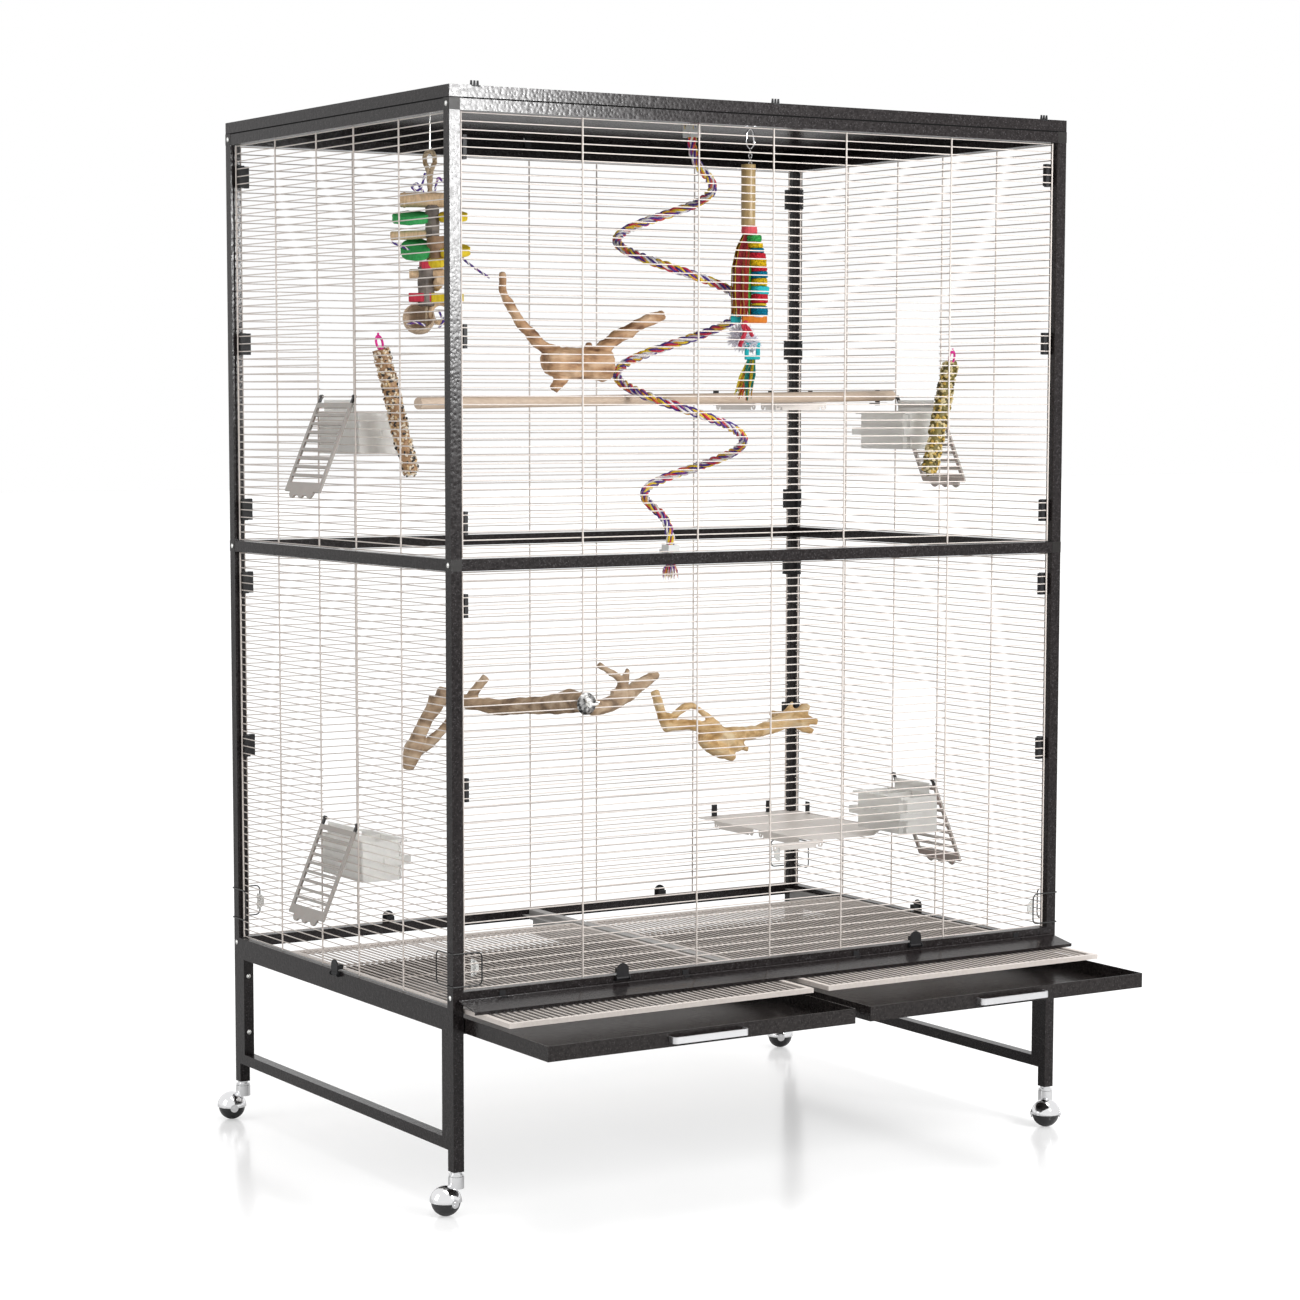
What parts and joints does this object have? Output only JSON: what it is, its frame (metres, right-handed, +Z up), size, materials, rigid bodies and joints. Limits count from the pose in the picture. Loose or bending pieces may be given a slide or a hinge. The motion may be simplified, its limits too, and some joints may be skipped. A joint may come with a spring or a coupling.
{
  "type": "bird aviary",
  "caption": "Two-storey wire aviary on swivelling ball casters with pull-out trays and floor grids, landing doors, feeders, shelves, perches and hanging toys.",
  "frame": {"origin": "on the floor, under the middle of the whole outline (trays pulled out as in the picture)", "axes": "+Z up, +X to the right and +Y to the back for someone who faces the trays"},
  "size_m": [1.4324, 1.1795, 1.891],
  "materials": {
    "frame": "hammertone anthracite-brown enamel",
    "bright_steel": "bright zinc-plated steel",
    "black_plastic": "moulded black plastic with a soft sheen",
    "cream_wire": "cream powder-coated wire",
    "runner_steel": "grey enamelled sheet steel",
    "tray_steel": "dark hammertone enamel",
    "aluminium": "satin anodised bar",
    "black_wire": "black coated spring wire",
    "grey_plastic": "warm light grey moulding",
    "clear_plastic": "milky translucent moulding",
    "cream_sheet": "cream powder-coated sheet",
    "dowel_wood": "turned beech",
    "root_wood": "sandblasted root wood",
    "pale_wood": "peeled pale branch",
    "rope": "twisted cotton in purple, yellow, red and white",
    "white_plastic": "white moulding",
    "seed": "pressed seeds",
    "toy_wood": "dyed wood slices and natural cores",
    "chrome": "bright chrome plate",
    "black_rubber": "black ball tread with a soft gloss"
  },
  "bodies": {
    "cabinet": {"lower_posts": "frame", "upper_posts": "frame", "mid_connectors": "frame", "top_connectors": "frame", "storey_rails": "frame", "base_rails": "frame", "stand_frames": "frame", "frame_screws": "bright_steel", "roof": "frame", "roof_clips": "black_plastic", "panel_clips": "black_plastic", "side_upper_panels": "cream_wire", "side_lower_panels": "cream_wire", "back_upper_panel": "cream_wire", "back_lower_panel": "cream_wire", "runners": "runner_steel", "rail_brackets": "black_plastic", "lock_rings": "black_wire", "ring_plates": "bright_steel", "feeders": "clear_plastic", "corner_shelves": "cream_sheet", "shelf_hooks": "black_plastic", "dowel_perch": "dowel_wood", "root_perch": "root_wood", "branch_perch_right": "pale_wood", "rope_perch": "rope", "rope_fittings": "white_plastic", "seed_sticks": "seed", "toy_hooks": "bright_steel", "caster_stems": "chrome"},
    "front_upper_door": {"front_upper_panel": "cream_wire"},
    "front_lower_door": {"front_lower_panel": "cream_wire", "branch_perch_left": "root_wood"},
    "landing_left_upper": {"landing_door_left_upper": "grey_plastic"},
    "landing_left_lower": {"landing_door_left_lower": "grey_plastic"},
    "landing_right_upper": {"landing_door_right_upper": "grey_plastic"},
    "landing_right_lower": {"landing_door_right_lower": "grey_plastic"},
    "drawer_left": {"tray_left": "tray_steel", "handle_left": "aluminium"},
    "drawer_right": {"tray_right": "tray_steel", "handle_right": "aluminium"},
    "grid_left": {"floor_grid_left": "cream_wire"},
    "grid_right": {"floor_grid_right": "cream_wire"},
    "seed_flap": {"flap": "frame"},
    "latch_fl": {"latch_front_left": "black_plastic"},
    "latch_fr": {"latch_front_right": "black_plastic"},
    "latch_l": {"latch_left": "black_plastic"},
    "latch_r": {"latch_right": "black_plastic"},
    "latch_bl": {"latch_back_left": "black_plastic"},
    "latch_br": {"latch_back_right": "black_plastic"},
    "hanging_blocks": {"block_toy": "toy_wood"},
    "hanging_bamboo": {"bamboo_toy": "toy_wood"},
    "swivel_fl": {"caster_yoke_fl": "chrome"},
    "wheel_fl": {"caster_ball_fl": "black_rubber"},
    "swivel_fr": {"caster_yoke_fr": "chrome"},
    "wheel_fr": {"caster_ball_fr": "black_rubber"},
    "swivel_bl": {"caster_yoke_bl": "chrome"},
    "wheel_bl": {"caster_ball_bl": "black_rubber"},
    "swivel_br": {"caster_yoke_br": "chrome"},
    "wheel_br": {"caster_ball_br": "black_rubber"}
  },
  "joints": [
    {"name": "front_upper_door_hinge", "type": "hinge", "parent": "cabinet", "child": "front_upper_door", "pos_m": [0.624, -0.2902, 1.4745], "axis": [0, 0, 1], "range_deg": [0, 105]},
    {"name": "front_lower_door_hinge", "type": "hinge", "parent": "cabinet", "child": "front_lower_door", "pos_m": [0.624, -0.2902, 0.7335], "axis": [0, 0, 1], "range_deg": [0, 105]},
    {"name": "landing_left_upper_pivot", "type": "hinge", "parent": "cabinet", "child": "landing_left_upper", "pos_m": [-0.63898, 0.1313, 1.37623], "axis": [0, 1, 0], "range_deg": [0, 157]},
    {"name": "landing_left_lower_pivot", "type": "hinge", "parent": "cabinet", "child": "landing_left_lower", "pos_m": [-0.63898, 0.1313, 0.62123], "axis": [0, 1, 0], "range_deg": [0, 157]},
    {"name": "landing_right_upper_pivot", "type": "hinge", "parent": "cabinet", "child": "landing_right_upper", "pos_m": [0.63898, 0.1313, 1.37623], "axis": [0, -1, 0], "range_deg": [0, 157]},
    {"name": "landing_right_lower_pivot", "type": "hinge", "parent": "cabinet", "child": "landing_right_lower", "pos_m": [0.63898, 0.1313, 0.62123], "axis": [0, -1, 0], "range_deg": [0, 157]},
    {"name": "tray_left_slide", "type": "slide", "parent": "cabinet", "child": "drawer_left", "axis": [0, -1, 0], "range_m": [-0.273, 0.35]},
    {"name": "grid_left_slide", "type": "slide", "parent": "cabinet", "child": "grid_left", "axis": [0, -1, 0], "range_m": [-0.15, 0.35]},
    {"name": "tray_right_slide", "type": "slide", "parent": "cabinet", "child": "drawer_right", "axis": [0, -1, 0], "range_m": [-0.273, 0.35]},
    {"name": "grid_right_slide", "type": "slide", "parent": "cabinet", "child": "grid_right", "axis": [0, -1, 0], "range_m": [-0.15, 0.35]},
    {"name": "flap_hinge", "type": "hinge", "parent": "cabinet", "child": "seed_flap", "pos_m": [0, -0.3022, 0.366], "axis": [-1, 0, 0], "range_deg": [0, 24]},
    {"name": "latch_fl_pivot", "type": "hinge", "parent": "cabinet", "child": "latch_fl", "pos_m": [-0.317, -0.3028, 0.375], "axis": [1, 0, 0], "range_deg": [0, 70]},
    {"name": "latch_bl_pivot", "type": "hinge", "parent": "cabinet", "child": "latch_bl", "pos_m": [-0.317, 0.5654, 0.347], "axis": [-1, 0, 0], "range_deg": [0, 95]},
    {"name": "latch_l_pivot", "type": "hinge", "parent": "cabinet", "child": "latch_l", "pos_m": [-0.6541, 0.1313, 0.347], "axis": [0, -1, 0], "range_deg": [0, 95]},
    {"name": "latch_fr_pivot", "type": "hinge", "parent": "cabinet", "child": "latch_fr", "pos_m": [0.317, -0.3028, 0.375], "axis": [1, 0, 0], "range_deg": [0, 70]},
    {"name": "latch_br_pivot", "type": "hinge", "parent": "cabinet", "child": "latch_br", "pos_m": [0.317, 0.5654, 0.347], "axis": [-1, 0, 0], "range_deg": [0, 95]},
    {"name": "latch_r_pivot", "type": "hinge", "parent": "cabinet", "child": "latch_r", "pos_m": [0.6541, 0.1313, 0.347], "axis": [0, 1, 0], "range_deg": [0, 95]},
    {"name": "block_toy_swing", "type": "hinge", "parent": "cabinet", "child": "hanging_blocks", "pos_m": [-0.5543, -0.0561, 1.8698], "axis": [1, 0, 0], "range_deg": [-6, 6]},
    {"name": "bamboo_toy_swing", "type": "hinge", "parent": "cabinet", "child": "hanging_bamboo", "pos_m": [0.0283, -0.1757, 1.8698], "axis": [0, 1, 0], "range_deg": [-6, 6]},
    {"name": "swivel_fl_turn", "type": "hinge", "parent": "cabinet", "child": "swivel_fl", "pos_m": [-0.64, -0.2887, 0.06], "axis": [0, 0, 1], "continuous": true},
    {"name": "wheel_fl_spin", "type": "hinge", "parent": "swivel_fl", "child": "wheel_fl", "pos_m": [-0.66179, -0.29176, 0.025], "axis": [0.1392, -0.9903, 0], "continuous": true},
    {"name": "swivel_fr_turn", "type": "hinge", "parent": "cabinet", "child": "swivel_fr", "pos_m": [0.64, -0.2887, 0.06], "axis": [0, 0, 1], "continuous": true},
    {"name": "wheel_fr_spin", "type": "hinge", "parent": "swivel_fr", "child": "wheel_fr", "pos_m": [0.62707, -0.3065, 0.025], "axis": [0.809, -0.5878, 0], "continuous": true},
    {"name": "swivel_bl_turn", "type": "hinge", "parent": "cabinet", "child": "swivel_bl", "pos_m": [-0.64, 0.5513, 0.06], "axis": [0, 0, 1], "continuous": true},
    {"name": "wheel_bl_spin", "type": "hinge", "parent": "swivel_bl", "child": "wheel_bl", "pos_m": [-0.66125, 0.55699, 0.025], "axis": [-0.2588, -0.9659, 0], "continuous": true},
    {"name": "swivel_br_turn", "type": "hinge", "parent": "cabinet", "child": "swivel_br", "pos_m": [0.64, 0.5513, 0.06], "axis": [0, 0, 1], "continuous": true},
    {"name": "wheel_br_spin", "type": "hinge", "parent": "swivel_br", "child": "wheel_br", "pos_m": [0.62095, 0.5623, 0.025], "axis": [-0.5, -0.866, 0], "continuous": true}
  ]
}
